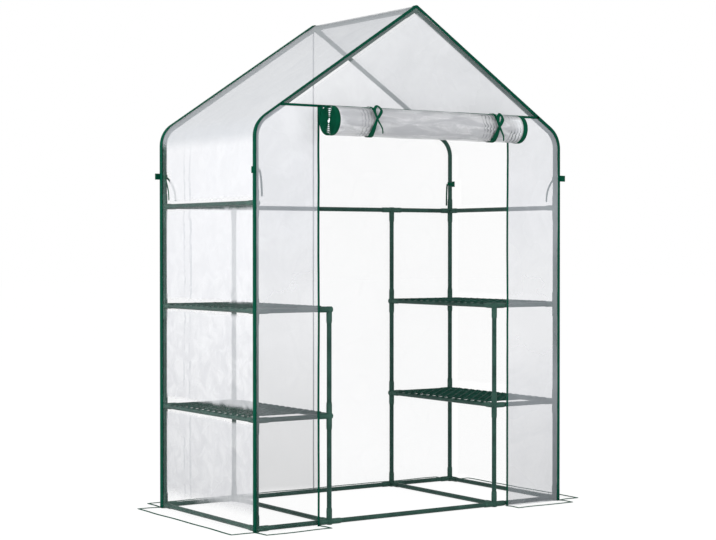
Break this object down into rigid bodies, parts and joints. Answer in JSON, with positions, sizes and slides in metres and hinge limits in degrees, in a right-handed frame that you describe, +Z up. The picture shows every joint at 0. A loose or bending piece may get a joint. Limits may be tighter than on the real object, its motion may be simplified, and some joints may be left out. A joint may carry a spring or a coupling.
{
  "type": "walk-in film greenhouse",
  "caption": "Walk-in garden greenhouse: a green steel tube frame with mesh shelves under a clear film cover, its front door rolled up and tied.",
  "frame": {"origin": "on the floor at the middle of the frame's plan, within 10 mm of the middle of the whole box", "axes": "+Z up, the doorway facing -Y, +X to the right of someone who faces the doorway"},
  "size_m": [1.626, 0.9647, 1.9548],
  "materials": {
    "tube": "satin powder coat",
    "connector": "satin moulded plastic",
    "mesh": "plastic-coated wire",
    "film": "clear, slightly hazy film",
    "binding": "woven tape",
    "strap": "woven webbing"
  },
  "bodies": {
    "root": {"base_connectors": "connector", "lower_connectors": "connector", "upper_connectors": "connector", "top_connectors": "connector", "ridge_connectors": "connector", "base_front_rail": "tube", "base_back_rail": "tube", "base_side_rails": "tube", "base_inner_rails": "tube", "front_left_post": "tube", "front_right_post": "tube", "back_left_post": "tube", "back_right_post": "tube", "front_inner_posts": "tube", "back_inner_posts": "tube", "front_left_rafter": "tube", "front_right_rafter": "tube", "back_left_rafter": "tube", "back_right_rafter": "tube", "ridge_pole": "tube", "top_side_rails": "tube", "top_back_rail": "tube", "lower_left_rails": "tube", "lower_right_rails": "tube", "upper_left_rails": "tube", "upper_right_rails": "tube", "lower_left_mesh": "mesh", "lower_right_mesh": "mesh", "upper_left_mesh": "mesh", "upper_right_mesh": "mesh", "left_wall": "film", "left_eave": "film", "left_roof": "film", "right_roof": "film", "right_eave": "film", "right_wall": "film", "back_wall": "film", "front_left_panel": "film", "front_right_panel": "film", "front_gable": "film", "ground_skirts": "film", "front_edge_binding": "binding", "back_edge_binding": "binding", "door_binding": "binding", "door_roll": "film", "door_ties": "strap", "corner_straps": "strap"}
  },
  "joints": []
}
